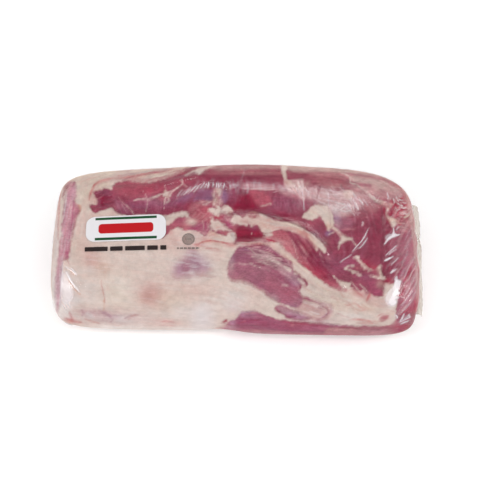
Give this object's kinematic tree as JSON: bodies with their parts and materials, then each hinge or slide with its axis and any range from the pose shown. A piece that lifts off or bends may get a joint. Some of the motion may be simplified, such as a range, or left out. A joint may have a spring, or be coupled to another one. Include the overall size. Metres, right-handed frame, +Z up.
{
  "type": "raw pork loin",
  "caption": "Half boneless raw pork loin in a tight clear shrink bag, lying on its flat underside, with fat cap, lean muscle and a short sealed bag tail at one end.",
  "frame": {"origin": "middle of the whole object's footprint, on the surface it lies on", "axes": "+Z up with the loin as it lies, X along the loin with the bag's tail at +X, the broad sloping side towards -Y"},
  "size_m": [0.2902, 0.1344, 0.0794],
  "materials": {
    "meat": "moist raw pork, cream fat and mauve lean, under tight clear film",
    "film": "glossy clear shrink film, milky where it is gathered and sealed"
  },
  "bodies": {
    "root": {"pork_loin": "meat", "bag_tail": "film"}
  },
  "joints": []
}
